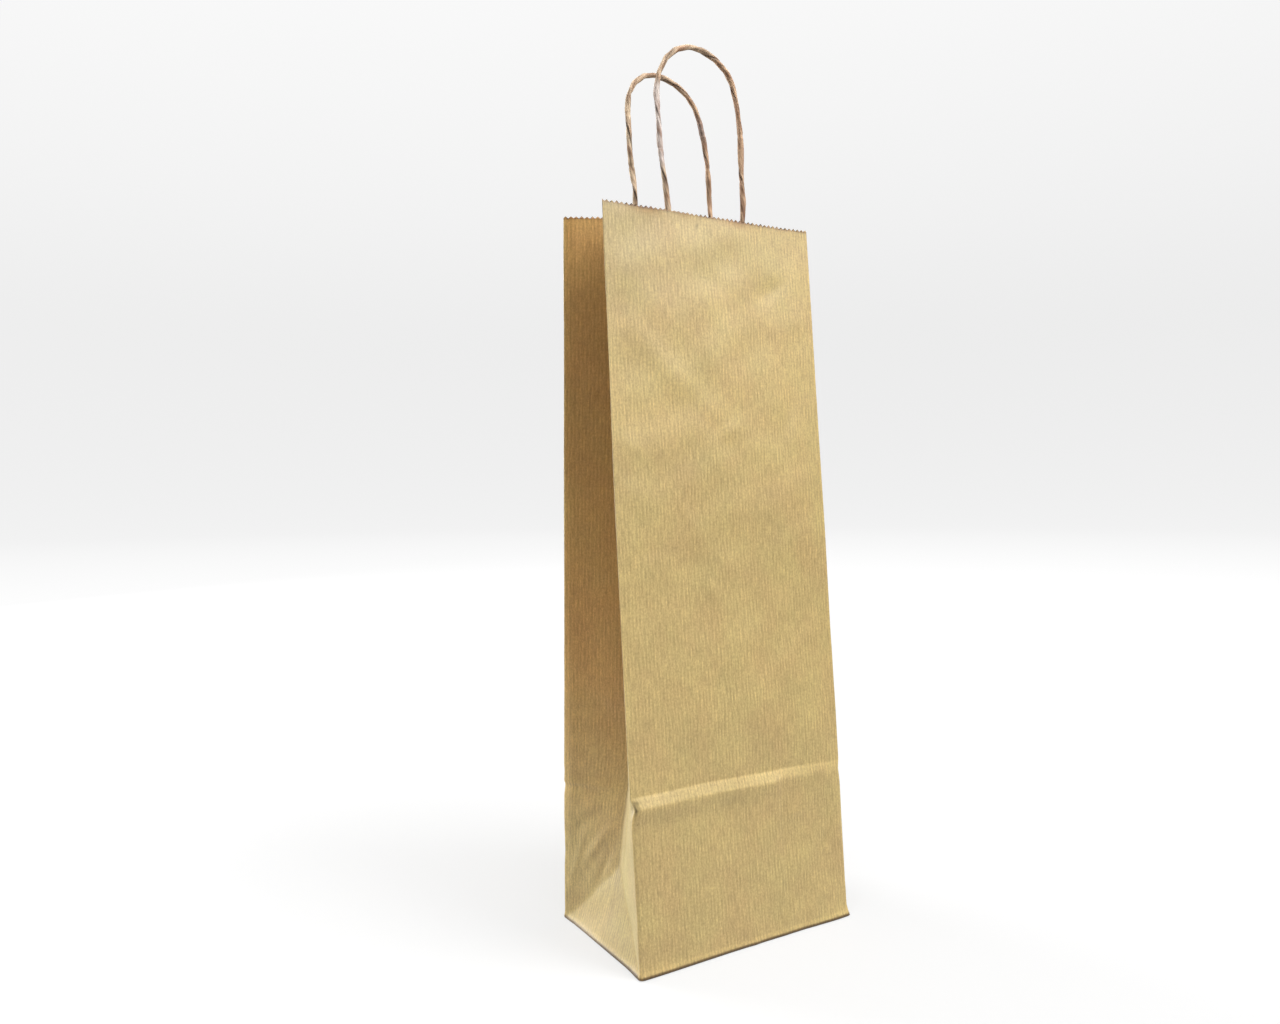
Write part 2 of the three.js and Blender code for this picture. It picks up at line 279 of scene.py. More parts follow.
def tube(s, v):
    """Points of the folded sheet at s, the distance round it, and v, the height up it. Each
    cross-section is a closed line through the panels' edges and the gussets' creases, and every
    stretch between two of them is straight. Below zero the sheet turns in under the base."""
    s, v = np.broadcast_arrays(s, v)
    under = np.maximum(-v, 0)
    v = np.maximum(v, 0)
    front_y = FRONT_Y + v * FRONT_COS * FRONT_SLOPE + under
    back_y = BACK_Y + v * BACK_COS * BACK_SLOPE - under
    front_z, back_z = v * FRONT_COS, v * BACK_COS
    middle_y, middle_z = (front_y + back_y) / 2, (front_z + back_z) / 2
    edge_x = HALF_WIDTH - under
    arch = np.sin(np.pi * v / PANEL_HEIGHT)
    front_left = -edge_x - 1.5 * MM * arch
    front_right = edge_x + 0.6 * MM * arch
    back_left = -edge_x + edge_shift(
        v, [30, 39.7, 50, 72, 78.5, 80, 90], [0, 0.5, 0, 0, 0.9, 0.2, 0])
    back_right = edge_x + 0.4 * MM * arch
    share = np.clip(v / APEX_HEIGHT, 0, 1)
    inset = np.where(v < APEX_HEIGHT, crease_inset(APEX_HEIGHT) * share, crease_inset(v))
    fold_front_y = front_y + (middle_y - front_y) * share
    fold_back_y = back_y + (middle_y - back_y) * share
    reach = np.maximum(np.minimum(v * HALF_DEPTH / APEX_HEIGHT, HALF_DEPTH), 0.01 * MM)
    nought = np.zeros_like(v)
    stops = [
        nought, FRONT_RIGHT + nought, FRONT_RIGHT + reach, BACK_RIGHT - reach, BACK_RIGHT + nought,
        BACK_LEFT + nought, BACK_LEFT + reach, GIRTH - reach, GIRTH + nought,
    ]
    corners = [
        (front_left, front_y, front_z), (front_right, front_y, front_z),
        (edge_x - inset, fold_front_y, middle_z), (edge_x - inset, fold_back_y, middle_z),
        (back_right, back_y, back_z), (back_left, back_y, back_z),
        (-edge_x + inset, fold_back_y, middle_z), (-edge_x + inset, fold_front_y, middle_z),
        (front_left, front_y, front_z),
    ]
    corners = [np.stack(corner, -1) for corner in corners]
    s = s % GIRTH
    points = corners[0].copy()
    for start, stop, low, high in zip(corners, corners[1:], stops, stops[1:]):
        along = np.clip((s - low) / np.maximum(high - low, 1e-9), 0, 1)
        points += along[..., None] * (stop - start)
    return points


def rounded_tube(s, v):
    """The tube with its creases rounded: each point is the mean of those close round it."""
    s_shifts = np.array([-0.9, -0.45, 0, 0.45, 0.9]) * MM
    v_shifts = np.array([-0.45, 0, 0.45]) * MM
    return sum(tube(s + ds, v + dv) for ds in s_shifts for dv in v_shifts) / 15


def ring_normals(points):
    """Outward normals of a closed ring of points, from the steps to its neighbours."""
    along = np.roll(points, -1, 1) - np.roll(points, 1, 1)
    normals = np.cross(along, np.gradient(points, axis=0))
    return normals / np.maximum(np.linalg.norm(normals, axis=-1, keepdims=True), 1e-12)


def cockle(s, v, count, low, high, height):
    """Soft unevenness of a paper sheet: a sum of slow waves with wavelengths from low to high
    in random directions, that close up round the bag."""
    total = np.zeros(np.broadcast(s, v).shape)
    for _ in range(count):
        wavelength = rng.uniform(low, high)
        angle, phase = rng.uniform(0, 2 * np.pi, 2)
        turns = round(GIRTH / wavelength * np.cos(angle))
        total += np.sin(2 * np.pi * (s * turns / GIRTH + v * np.sin(angle) / wavelength) + phase)
    return height * total / np.sqrt(count)


def ridge(s, v, s0, v0, degrees, length, width):
    """A soft straight crease of height 1 at (s0, v0), in mm and degrees from the horizontal."""
    ds = (s - s0 * MM + GIRTH / 2) % GIRTH - GIRTH / 2
    dv = v - v0 * MM
    turn = np.radians(degrees)
    along = ds * np.cos(turn) + dv * np.sin(turn)
    beside = -ds * np.sin(turn) + dv * np.cos(turn)
    return np.exp(-((along / (length * MM)) ** 2) - ((beside / (width * MM)) ** 2))


def near_crease(s, crease, width):
    """A hill of height 1 over a crease, round the closed sheet."""
    return np.exp(-((((s - crease + HALF_DEPTH) % GIRTH - HALF_DEPTH) / width) ** 2))


def band_top(s):
    """Height of the shipping fold's upper edge on the front at a distance s from its left."""
    return np.interp(s / MM, [0, 45, 94, 96, 140], [90.7, 91.1, 90.1, 90.6, 89.0]) * MM


def sheet_relief(s, v):
    """How far the paper stands out from the folded shape."""
    s = s % GIRTH
    inside_front = soft_ramp(s, 0, 3 * MM) * (1 - soft_ramp(s, WIDTH - 3 * MM, WIDTH))
    height = cockle(s, v, 14, 50 * MM, 140 * MM, 0.6 * MM)
    height += cockle(s, v, 18, 22 * MM, 60 * MM, 0.2 * MM)
    for _ in range(150):  # handling dents all over
        size = rng.uniform(3, 14)
        height += rng.uniform(-0.6, 0.6) * MM * ridge(
            s, v, rng.uniform(0, GIRTH) / MM, rng.uniform(0, 400), rng.uniform(0, 180), size,
            size / 2.5)
    for s0, v0, degrees, length, width, amount in (  # the front's larger dents
        (38, 310, -50, 34, 7, 0.6), (60, 285, -45, 24, 5, -0.5), (62, 325, -80, 18, 4, 0.35),
        (45, 232, -60, 14, 3, 0.4), (18, 215, 10, 10, 2.5, -0.4), (110, 300, -70, 30, 7, 0.35),
        (85, 150, 30, 40, 9, -0.35),
    ):
        height += amount * MM * ridge(s, v, s0, v0, degrees, length, width)
    # The creases keep the panels' edges straight.
    for edge in (0, FRONT_RIGHT, BACK_RIGHT, BACK_LEFT):
        height *= 1 - 0.85 * near_crease(s, edge, 9 * MM) * (1 - bump(v, 0, 20 * MM))
    # The shipping fold on the front: a flattened band that slopes outwards as it goes down, with
    # a step in it where the folded gusset's edge lay behind it. The panel below settles back.
    over_gusset = soft_ramp(s, 94 * MM, 96 * MM)
    top = band_top(s)
    foot = top - 6.0 * MM + 1.6 * MM * over_gusset
    rise = (1.9 - 0.7 * over_gusset - 0.5 * soft_ramp(s, 96 * MM, WIDTH)) * MM
    slope = 1 - ramp(v, foot, top)
    settle = 1 - 0.6 * (1 - soft_ramp(v, foot - 10 * MM, foot)) * bump(s, 0, 80 * MM)
    settle *= soft_ramp(v, 0, 60 * MM)
    height += rise * slope * settle * inside_front
    height += 0.5 * MM * bump(s, 94.5 * MM, 1.2 * MM) * bump(v, top - 5 * MM, 1.6 * MM)
    # The same fold, fainter, across the gussets and the back.
    off_front = 1 - soft_ramp(s, -2 * MM, 0) * (1 - soft_ramp(s, WIDTH, WIDTH + 4 * MM))
    height -= 0.12 * MM * bump(v, 86 * MM, 2.0 * MM) * off_front
    height += 0.15 * MM * bump(v, 80 * MM, 3.0 * MM) * off_front
    # Each gusset half bellies out beside the panel's edge.
    for edge in (0, FRONT_RIGHT, BACK_RIGHT, BACK_LEFT, GIRTH):
        side = 1 if edge in (FRONT_RIGHT, BACK_LEFT) else -1
        belly = bump(s, edge + side * 5.5 * MM, 4 * MM)
        height += 0.7 * MM * belly * soft_ramp(v, 30 * MM, 90 * MM)
    # The gusset's foot keeps soft folds from when the base was flat.
    for edge, side in ((GIRTH, -1), (FRONT_RIGHT, 1)):
        for out, up_, degrees, length, width, amount in (
            (62, 47, 52, 16, 2.6, 0.8), (55, 38, 64, 14, 2.0, -0.6), (70, 60, 38, 18, 3.0, -0.5),
            (76, 36, 70, 18, 2.2, 0.5), (60, 70, 20, 22, 3.0, 0.45), (30, 62, 80, 20, 3.0, -0.4),
        ):
            height += amount * MM * ridge(
                s, v, edge / MM + side * out, up_, degrees * -side, length, width)
    # Lips where the panels turn under the base, wider at the corners.
    corner_lip = bump(s, 0, 26 * MM) + bump(s, WIDTH, 18 * MM) + bump(s, GIRTH, 10 * MM)
    height += 0.9 * MM * corner_lip * (1 - ramp(v, 0.5 * MM, 6.5 * MM)) * (v >= 0)
    height += 0.35 * MM * bump(v, 0.8 * MM, 1.6 * MM)
    # A small ring pressed into the front near its right edge.
    ring = np.hypot(s - 125.7 * MM, v - 40.1 * MM)
    height += 0.5 * MM * bump(ring, 2.6 * MM, 0.8 * MM) * (v > 39 * MM)
    # The glued seam's edge runs up the back.
    height += 0.25 * MM * soft_ramp(s, BACK_RIGHT + 7 * MM, BACK_RIGHT + 7.4 * MM) * (
        1 - soft_ramp(s, BACK_RIGHT + 40 * MM, BACK_RIGHT + 110 * MM))
    return height


def ribbed_kraft(name, rib_pitch=2.2 * MM, rib_strength=1.0, toned=False):
    """Machine-glazed brown kraft: a warm golden tan with fine upright ribs pressed into it, faint
    clouds of yellower and pinker pulp, and short dark fibres. The ribs are also painted into the
    colour as painted shade and highlight. The glaze gives a soft shine. A toned piece's colour is
    multiplied by its attribute, which holds painted shade and highlights as well as marks."""
    material, tree, shader = new_material(name)
    place = add_node(tree, "UVMap", {"uv_map": "paper"}).outputs["UV"]
    # Unevenness of the pulp and the press, in features so many mm across and up. The real grain
    # is finer than 0.3 mm: it is drawn coarser, so that it shows.
    noise = {}
    for part, across, upward, detail, roughness, seed in (
        ("sway", 9, 40, 2.0, 0.5, 0.0), ("strength", 2.6, 11, 2.0, 0.5, 3.0),
        ("streaks", 1.1, 7, 3.0, 0.6, 5.0), ("blots", 22, 30, 2.0, 0.5, 7.0),
        ("grain", 0.9, 1.3, 3.0, 0.65, 11.0), ("clouds", 26, 34, 3.0, 0.6, 2.0),
    ):
        mapped = add_node(tree, "Mapping", inputs={
            "Scale": (1 / (across * MM), 1 / (upward * MM), 1),
            "Location": (seed, seed * 0.7, seed)}, links={"Vector": place})
        noise[part] = add_node(
            tree, "TexNoise", inputs={"Scale": 1.0, "Detail": detail, "Roughness": roughness},
            links={"Vector": mapped.outputs[0]}).outputs["Fac"]
    # The ribs are a sine across the sheet that wavers slightly.
    split = add_node(tree, "SeparateXYZ", links={"Vector": place})
    bent = add_node(tree, "Math", {"operation": "MULTIPLY_ADD"}, {1: 1.2 * MM},
                    {0: noise["sway"], 2: split.outputs["X"]})
    turns = add_node(tree, "Math", {"operation": "MULTIPLY"}, {1: 2 * np.pi / rib_pitch},
                     {0: bent.outputs[0]})
    wave = add_node(tree, "Math", {"operation": "SINE"}, links={0: turns.outputs[0]})
    # Each rib is stronger in some places than in others.
    strength = add_node(tree, "MapRange", inputs={1: 0.4, 2: 0.64, 3: 0.0, 4: 1.0},
                        links={0: noise["strength"]})
    rib = add_node(tree, "Math", {"operation": "MULTIPLY"},
                   links={0: wave.outputs[0], 1: strength.outputs[0]})
    # The ribs also go into the colour: painted shade in their valleys and painted highlight on their
    # crests.
    rib_shade = add_node(tree, "Math", {"operation": "MULTIPLY_ADD"},
                         {1: 0.15 * rib_strength, 2: 1.0}, {0: rib.outputs[0]})
    clouds = add_node(tree, "ValToRGB", links={"Fac": noise["clouds"]})
    clouds.color_ramp.elements[0].position, clouds.color_ramp.elements[1].position = 0.35, 0.65
    clouds.color_ramp.elements[0].color = linear("#AD9461")
    clouds.color_ramp.elements[1].color = linear("#AE9963")
    shade = rib_shade
    for part, amount in (("streaks", 0.17), ("blots", 0.05), ("grain", 0.2)):
        factor = add_node(tree, "MapRange", {"clamp": False},
                          {1: 0.3, 2: 0.7, 3: 1 - amount, 4: 1 + amount}, {0: noise[part]})
        shade = add_node(tree, "Math", {"operation": "MULTIPLY"},
                         links={0: shade.outputs[0], 1: factor.outputs[0]})
    coloured = add_node(tree, "VectorMath", {"operation": "SCALE"},
                        links={0: clouds.outputs["Color"], "Scale": shade.outputs[0]})
    # Dark fibres: short upright specks, one or two to a square centimetre.
    speck_place = add_node(tree, "Mapping", inputs={"Scale": (1 / (3 * MM), 1 / (5 * MM), 1)},
                           links={"Vector": place})
    specks = add_node(tree, "TexVoronoi", inputs={"Scale": 1.0},
                      links={"Vector": speck_place.outputs[0]})
    red = add_node(tree, "SeparateColor", links={"Color": specks.outputs["Color"]})
    chosen = add_node(tree, "Math", {"operation": "GREATER_THAN"}, {1: 0.8}, {0: red.outputs[0]})
    near = add_node(tree, "MapRange", inputs={1: 0.03, 2: 0.11, 3: 0.5, 4: 0.0},
                    links={0: specks.outputs["Distance"]})
    speck = add_node(tree, "Math", {"operation": "MULTIPLY"},
                     links={0: chosen.outputs[0], 1: near.outputs[0]})
    flecked = add_node(tree, "Mix", {"data_type": "RGBA"}, {"B": linear("#6E4A22")},
                       {"Factor": speck.outputs[0], "A": coloured.outputs[0]})
    if toned:
        tone = add_node(tree, "Attribute", {"attribute_name": "tone"})
        finished = add_node(tree, "VectorMath", {"operation": "MULTIPLY"},
                            links={0: flecked.outputs["Result"], 1: tone.outputs["Vector"]})
        tree.links.new(finished.outputs[0], shader.inputs["Base Color"])
    else:
        tree.links.new(flecked.outputs["Result"], shader.inputs["Base Color"])
    relief = add_node(tree, "Math", {"operation": "MULTIPLY_ADD"}, {1: 0.6},
                      {0: noise["streaks"], 2: rib_shade.outputs[0]})
    pressed = add_node(tree, "Bump", inputs={"Strength": 0.6, "Distance": 0.12 * MM},
                       links={"Height": relief.outputs[0]})
    tree.links.new(pressed.outputs["Normal"], shader.inputs["Normal"])
    shader.inputs["Roughness"].default_value = 0.5
    shader.inputs["IOR"].default_value = 1.5
    return material


kraft = ribbed_kraft("ribbed machine-glazed kraft paper", toned=True)

# Distances round the sheet: two to each tooth of the mouth, and more at the creases.
even = np.arange(0, GIRTH, TOOTH_PITCH / 2)
creases = np.array([0, FRONT_RIGHT, FRONT_RIGHT + HALF_DEPTH, BACK_RIGHT, BACK_LEFT,
                    BACK_LEFT + HALF_DEPTH])
close = (creases[:, None] + np.array([-0.9, -0.35, 0.35, 0.9]) * MM).ravel() % GIRTH
columns = np.unique(np.round(np.concatenate([even, close]), 6))
columns = columns[np.append(True, np.diff(columns) > 0.12 * MM)]
# Heights up it: closest at the base, the shipping fold and the mouth. A row just above the fold
# keeps the walls' cut edge there from shading them.
rows = np.unique(np.round(np.concatenate([
    np.array([-9, -5, -2.5, -1.2, -0.5, 0.1, 0.7, 1.4]) * MM, np.arange(2.2, 7, 1.1) * MM,
    np.arange(8, 76, 1.7) * MM, np.arange(76.6, FOLD_HEIGHT / MM, 0.8) * MM,
    FOLD_HEIGHT + np.array([0, 0.06]) * MM,
    np.arange(FOLD_HEIGHT / MM + 0.7, 93, 0.7) * MM,
    np.linspace(94.5 * MM, PANEL_HEIGHT - 6 * MM, 104),
    PANEL_HEIGHT - np.array([4.2, 2.6, 1.4, 0.7, 0]) * MM,
]), 6))
fold_row = int(np.argmin(np.abs(rows - FOLD_HEIGHT)))
sheet_s, sheet_v = np.meshgrid(columns, rows)
outer = rounded_tube(sheet_s, sheet_v)
relief = sheet_relief(sheet_s, sheet_v)
outer = outer + ring_normals(outer) * relief[..., None]
outer[..., 2] = np.maximum(outer[..., 2], BASE_LEVEL)
outer[sheet_v < 0, 2] = BASE_LEVEL
# The front corners are pinched where the shipping fold crosses them.
for corner, amount in ((0, 2.1), (WIDTH, -0.7)):
    aside = (sheet_s - corner + HALF_DEPTH) % GIRTH - HALF_DEPTH
    outer[..., 0] += (edge_shift(sheet_v, [76, 80.2, 84.4, 90.3], [0, 0.35 * amount, amount, 0])
                      * np.exp(-((aside / (5 * MM)) ** 2)))
teeth = (columns / TOOTH_PITCH) % 1
worn = rng.uniform(0.55, 1.1, len(columns)) * (1 - 0.6 * bump(columns, 46 * MM, 12 * MM))
outer[-1, :, 2] += TOOTH_HEIGHT * worn * (np.abs(teeth - 0.5) * 2 - 0.6)
# The cut runs a little out of square, higher to the right of the front.
out_of_square = 1.1 * MM * soft_ramp(sheet_v, 320 * MM, 400 * MM)
outer[..., 2] += out_of_square * ramp(sheet_s, 0, WIDTH) * (1 - ramp(sheet_s, WIDTH, BACK_RIGHT))
inner = outer - ring_normals(outer) * SHEET_THICKNESS


def sheet_tone_with_painted_light(s, v):
    """A factor on the paper's colour, most of it painted light: painted shade, browner, deep in
    the gussets, where light only comes off other brown paper; painted highlights along the
    creases, on the shipping fold, on a pressed ring and on the gusset's front half; a painted
    contact shadow along the bottom and painted shade along the cut mouth. The rest is a dark
    speck, browner patches below the mouth and broad lighter and darker patches on the front."""
    in_gusset = sum(soft_ramp(s, edge, edge + 2 * MM) * (1 - soft_ramp(s, edge + DEPTH - 2 * MM,
                    edge + DEPTH)) for edge in (FRONT_RIGHT, BACK_LEFT))
    # The halves on the back panel's side are the ones in shade.
    right_crease, left_crease = BACK_RIGHT - HALF_DEPTH, BACK_LEFT + HALF_DEPTH
    shaded = soft_ramp(s, right_crease, right_crease + 3 * MM) * (s < BACK_RIGHT)
    shaded = shaded + (s > BACK_LEFT) * (1 - soft_ramp(s, left_crease - 3 * MM, left_crease))
    # Painted shade: the gussets turn browner and redder going up, most on their shaded halves.
    depth = in_gusset * soft_ramp(v, 20 * MM, 170 * MM) * (0.25 + 0.75 * shaded)
    tone = 1 + depth[..., None] * (np.array([1.0, 0.8, 0.66]) - 1)
    # Painted shade along each gusset's centre crease, growing from about 60 mm up.
    groove_shade = sum(near_crease(s, edge + HALF_DEPTH, 9 * MM) for edge in (FRONT_RIGHT, BACK_LEFT))
    light = 1 - 0.18 * groove_shade * soft_ramp(v, 60 * MM, 140 * MM)
    # Painted light and shade on the gussets' shaded halves by height: lighter near the base and the
    # mouth, darkest about 300 mm up.
    painted_light_by_height = np.interp(v / MM, [0, 45, 125, 183, 240, 298, 356, 380, 400],
                          [1.1, 1.16, 1.18, 1.14, 1.03, 0.88, 0.97, 1.12, 1.22])
    light *= 1 + in_gusset * shaded * (painted_light_by_height - 1)
    # Painted highlights: thin pale lines along the panels' edges, a pale strip beside the back left
    # edge that fades out towards the base, and a brighter line down the front left edge, strongest
    # about 150 mm up.
    for edge in (0, FRONT_RIGHT, BACK_RIGHT, BACK_LEFT):
        light += 0.14 * near_crease(s, edge, 1.0 * MM)
    light += 0.2 * near_crease(s, BACK_LEFT + 2 * MM, 2.2 * MM) * soft_ramp(v, 0, 60 * MM)
    light += 0.22 * near_crease(s, 0, 1.0 * MM) * bump(v, 150 * MM, 90 * MM)
    on_front = soft_ramp(s, -1 * MM, 0) * (1 - soft_ramp(s, WIDTH, WIDTH + 1 * MM))
    top = band_top(s)
    # Painted highlight on the shipping fold's sloping band on the front, a painted highlight line
    # along its top edge and painted shade below it.
    band_highlight = soft_ramp(v, top - 7.5 * MM, top - 4.5 * MM) * (1 - soft_ramp(v, top, top + 0.7 * MM))
    band_highlight *= on_front * (1 - 0.8 * soft_ramp(s, 93 * MM, 135 * MM))
    light += (0.06 + 0.16 * s / WIDTH) * band_highlight
    light += on_front * 0.12 * bump(v, top - 0.4 * MM, 0.8 * MM)
    light -= on_front * 0.06 * bump(v, top - 11 * MM, 5 * MM) * (1 - 0.6 * s / WIDTH)
    # Painted shade: two short dark lines in the pinch at the front's left corner.
    light -= 0.75 * near_crease(s, 0.7 * MM, 0.6 * MM) * bump(v, 84.5 * MM, 2.4 * MM)
    light -= 0.6 * bump(s, 2.2 * MM, 1.6 * MM) * bump(v, 88.4 * MM, 0.8 * MM)
    # Painted contact shadow: the lowest 2 mm are dark, with a painted highlight line just above.
    rim = 1 - ramp(v, 1.3 * MM, 2.0 * MM)
    light -= 0.8 * rim
    light += 0.12 * bump(v, 3.2 * MM, 0.9 * MM)
    # Broad patches on the front: lighter about 310 mm up and at the top right, darker near the bottom
    # and at the top left.
    light += on_front * (0.07 * bump(v, 310 * MM, 50 * MM) - 0.05 * bump(v, 30 * MM, 60 * MM)
                         - 0.12 * bump(s, 5 * MM, 35 * MM) * bump(v, 390 * MM, 40 * MM)
                         + 0.07 * bump(s, 130 * MM, 30 * MM) * bump(v, 370 * MM, 50 * MM))
    # A dark speck of bark near the mouth, and a painted highlight on the ring pressed into the front
    # near its right edge.
    light -= 0.5 * bump(np.hypot(s - 60.6 * MM, v - 394 * MM), 0, 0.9 * MM)
    ring = np.hypot(s - 125.7 * MM, v - 40.1 * MM)
    light += 0.18 * bump(ring, 2.6 * MM, 0.8 * MM) * (v > 39 * MM)
    # The painted contact shadow is also warmer, and the band's painted highlight whiter.
    tone = tone * light[..., None] * (1 - rim[..., None] * np.array([0.0, 0.2, 0.4]))
    tone *= 1 + band_highlight[..., None] * np.array([0.0, 0.02, 0.08])
    # Painted sheen on the gusset's front half, paler and whiter, and painted shade on the base's
    # triangle, darker and yellower.
    aside = np.min([np.abs(s - edge) for edge in (WIDTH, BACK_RIGHT, BACK_LEFT, GIRTH)], 0)
    aside = aside / HALF_DEPTH
    over_triangle = soft_ramp(v - APEX_HEIGHT * aside, -1 * MM, 2 * MM)
    painted_sheen = ramp(aside, 0, 0.05) * (1 - ramp(aside, 0.9, 1)) * over_triangle
    painted_sheen *= in_gusset * (1 - shaded) * (1 - soft_ramp(v, 66 * MM, 130 * MM))
    tone *= 1 + painted_sheen[..., None] * np.array([0.05, 0.14, 0.28])
    # Painted shade: the base's triangle darker and yellower.
    low = in_gusset * (1 - over_triangle) * (v < APEX_HEIGHT)
    tone *= 1 - low[..., None] * np.array([0.12, 0.11, 0.22])
    # Painted shade along the cut mouth, and browner patches a little below it in places.
    rough_cut = rng.uniform(0.5, 1.0, s.shape[1])
    mouth_edge_shade = 0.95 * ramp(v, PANEL_HEIGHT - 1.7 * MM, PANEL_HEIGHT - 0.3 * MM) * rough_cut
    tone *= 1 - mouth_edge_shade[..., None] * np.array([0.75, 0.9, 1.0])
    below = ramp(v, PANEL_HEIGHT - 5 * MM, PANEL_HEIGHT)
    browner_below_mouth = below * sum(amount * bump(s, at * MM, width * MM) for at, width, amount in (
        (26, 9, 0.85), (88, 11, 0.9), (52, 5, 0.4), (122, 8, 0.35), (300, 14, 0.6)))
    return tone * (1 - browner_below_mouth[..., None] * np.array([0.35, 0.6, 0.85]))


# The sheet's tone: mostly painted shade and highlights, with a few marks of the paper's own.
tones_with_painted_light = sheet_tone_with_painted_light(sheet_s, sheet_v)


def sheet_ring(name, first, last, inset):
    """The sheet from one row to another: its outer and inner faces, closed by its cut edges.
    inset is how far each row is moved in."""
    count = len(columns)
    tall = last - first + 1
    moved = ring_normals(outer)[first : last + 1] * inset[:, None, None]
    points = np.concatenate([(outer[first : last + 1] - moved).reshape(-1, 3),
                             (inner[first : last + 1] - moved).reshape(-1, 3)])
    j, i = np.meshgrid(np.arange(tall - 1), np.arange(count), indexing="ij")
    nxt = (i + 1) % count
    face = np.stack([j * count + i, j * count + nxt, (j + 1) * count + nxt, (j + 1) * count + i], -1)
    face = face.reshape(-1, 4)
    other = tall * count
    ring = np.arange(count)
    after = (ring + 1) % count
    top = (tall - 1) * count
    rim_low = np.stack([ring + other, after + other, after, ring], -1)
    rim_high = np.stack([top + ring, top + after, top + after + other, top + ring + other], -1)
    quads = np.concatenate([face, face[:, ::-1] + other, rim_low, rim_high])
    uv_s = np.append(columns, columns[0] + GIRTH)
    grid = np.stack(np.meshgrid(uv_s, rows[first : last + 1]), -1)
    corner = np.stack([grid[:-1, :-1], grid[:-1, 1:], grid[1:, 1:], grid[1:, :-1]], 2)
    corner = corner.reshape(-1, 4, 2)
    low = np.stack([grid[0, :-1], grid[0, 1:], grid[0, 1:], grid[0, :-1]], 1)
    high = np.stack([grid[-1, :-1], grid[-1, 1:], grid[-1, 1:], grid[-1, :-1]], 1)
    uv = np.concatenate([corner, corner[:, ::-1], low, high])
    tone = tones_with_painted_light[first : last + 1].reshape(-1, 3)
    return mesh_piece(name, points, quads, kraft, uv, flat=2 * count,
                      tone=np.concatenate([tone, tone]))


# The foot reaches a little way up inside the walls, so that no gap opens at the shipping fold
# when the front panel swings.
UNDERLAP = 6  # rows
tucked_in = 0.5 * MM * ramp(
    rows[: fold_row + UNDERLAP + 1], FOLD_HEIGHT, FOLD_HEIGHT + 3.5 * MM)
bag_foot = sheet_ring("bag_foot", 0, fold_row + UNDERLAP, tucked_in)
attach(bag_foot, "bag_body")
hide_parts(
    "front_lower_panel", "back_lower_panel", "left_base_triangle", "right_base_triangle",
    *[f"{a}_{b}_lower_gusset" for a in ("left", "right") for b in ("front", "back")],
)

bag_walls = sheet_ring("bag_walls", fold_row, len(rows) - 1, np.zeros(len(rows) - fold_row))
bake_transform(bag_walls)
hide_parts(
    "front_panel", "back_panel",
    *[f"{a}_{b}_gusset" for a in ("left", "right") for b in ("front", "back")],
)


# ---------------------------------------------------------------- bottom, seam and patches
# Flat plies of the same paper: the bottom's four flaps folded over each other and glued, the
# sheet's long seam inside the back panel, and the patches glued over the handles' ends.
FLAP_INSET = 1.5 * MM  # from the folded edge of the base to the flaps' sides
plain_kraft = ribbed_kraft("plain brown kraft paper", rib_strength=0.35)
ribbed_plies = ribbed_kraft("ribbed kraft paper of the bottom and the seam")


def ply(name, place, size_u, size_v, thickness, material, steps=(24, 24)):
    """A ply of paper: place(u, v, depth) gives its points for u and v from 0 to 1, and depth is
    from its near face to its far one. Its uv is in metres, size_u by size_v."""
    u, v = np.meshgrid(np.linspace(0, 1, steps[0]), np.linspace(0, 1, steps[1]))
    near, far = place(u, v, 0.0), place(u, v, thickness)
    wide, tall = steps
    j, i = np.meshgrid(np.arange(tall - 1), np.arange(wide - 1), indexing="ij")
    at = j * wide + i
    face = np.stack([at, at + 1, at + wide + 1, at + wide], -1).reshape(-1, 4)
    other = wide * tall
    index = np.arange(other).reshape(tall, wide)
    border = np.concatenate([index[0, :-1], index[:-1, -1], index[-1, :0:-1], index[:0:-1, 0]])
    ahead = np.roll(border, -1)
    rim = np.stack([border + other, ahead + other, ahead, border], -1)
    quads = np.concatenate([face, face[:, ::-1] + other, rim])
    flat_uv = np.stack([u * size_u, v * size_v], -1).reshape(-1, 2)
    flat_uv = np.concatenate([flat_uv, flat_uv])
    points = np.concatenate([near.reshape(-1, 3), far.reshape(-1, 3)])
    return mesh_piece(name, points, quads, material, flat_uv[quads], flat=len(border))


def bottom_ply(name, y_outer, y_inner, level, material):
    """A flap that tapers at 45 degrees from the panel's crease at y_outer to its end."""
    reach = abs(y_inner - y_outer)
    side = np.sign(y_inner - y_outer)

    def place(u, v, depth):
        y = y_outer + (y_inner - y_outer) * v
        half = HALF_WIDTH - FLAP_INSET - np.minimum(reach * v, 0.8 * HALF_DEPTH)
        x = (2 * u - 1) * half * side
        return np.stack([x, y, level + depth + 0 * x], -1)

    return ply(name, place, WIDTH, reach, -SHEET_THICKNESS, material)


front_flap = bottom_ply("base_front_flap", FRONT_Y + 0.4 * MM, 12 * MM, 0.2 * MM, ribbed_plies)
back_flap = bottom_ply("base_back_flap", BACK_Y - 1.2 * MM, -14 * MM, 0.75 * MM, ribbed_plies)
for flap, node in ((front_flap, "bottom_front_flap"), (back_flap, "bottom_back_flap")):
    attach(flap, "bag_body")
    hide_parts(node)

